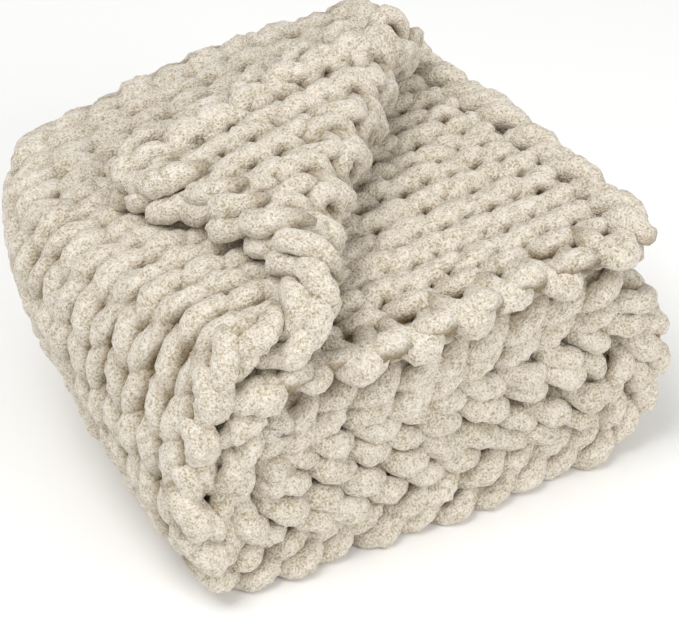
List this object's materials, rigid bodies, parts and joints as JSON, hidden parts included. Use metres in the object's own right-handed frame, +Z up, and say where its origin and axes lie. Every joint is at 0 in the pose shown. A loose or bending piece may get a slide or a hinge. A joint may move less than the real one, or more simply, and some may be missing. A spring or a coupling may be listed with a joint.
{
  "type": "folded chunky knit blanket",
  "caption": "Chunky knit throw blanket in thick chenille yarn, folded into a compact stack with one top corner turned back.",
  "frame": {"origin": "on the surface that the blanket rests on, under the middle of its bounding box", "axes": "+Z up, +Y from the free front edges to the long fold at the back, +X from the wrapped left side to the right turn"},
  "size_m": [0.4146, 0.3946, 0.2654],
  "materials": {
    "chenille_yarn": "soft matte chenille pile in a warm cream beige"
  },
  "bodies": {
    "root": {"knit_blanket": "chenille_yarn"}
  },
  "joints": []
}
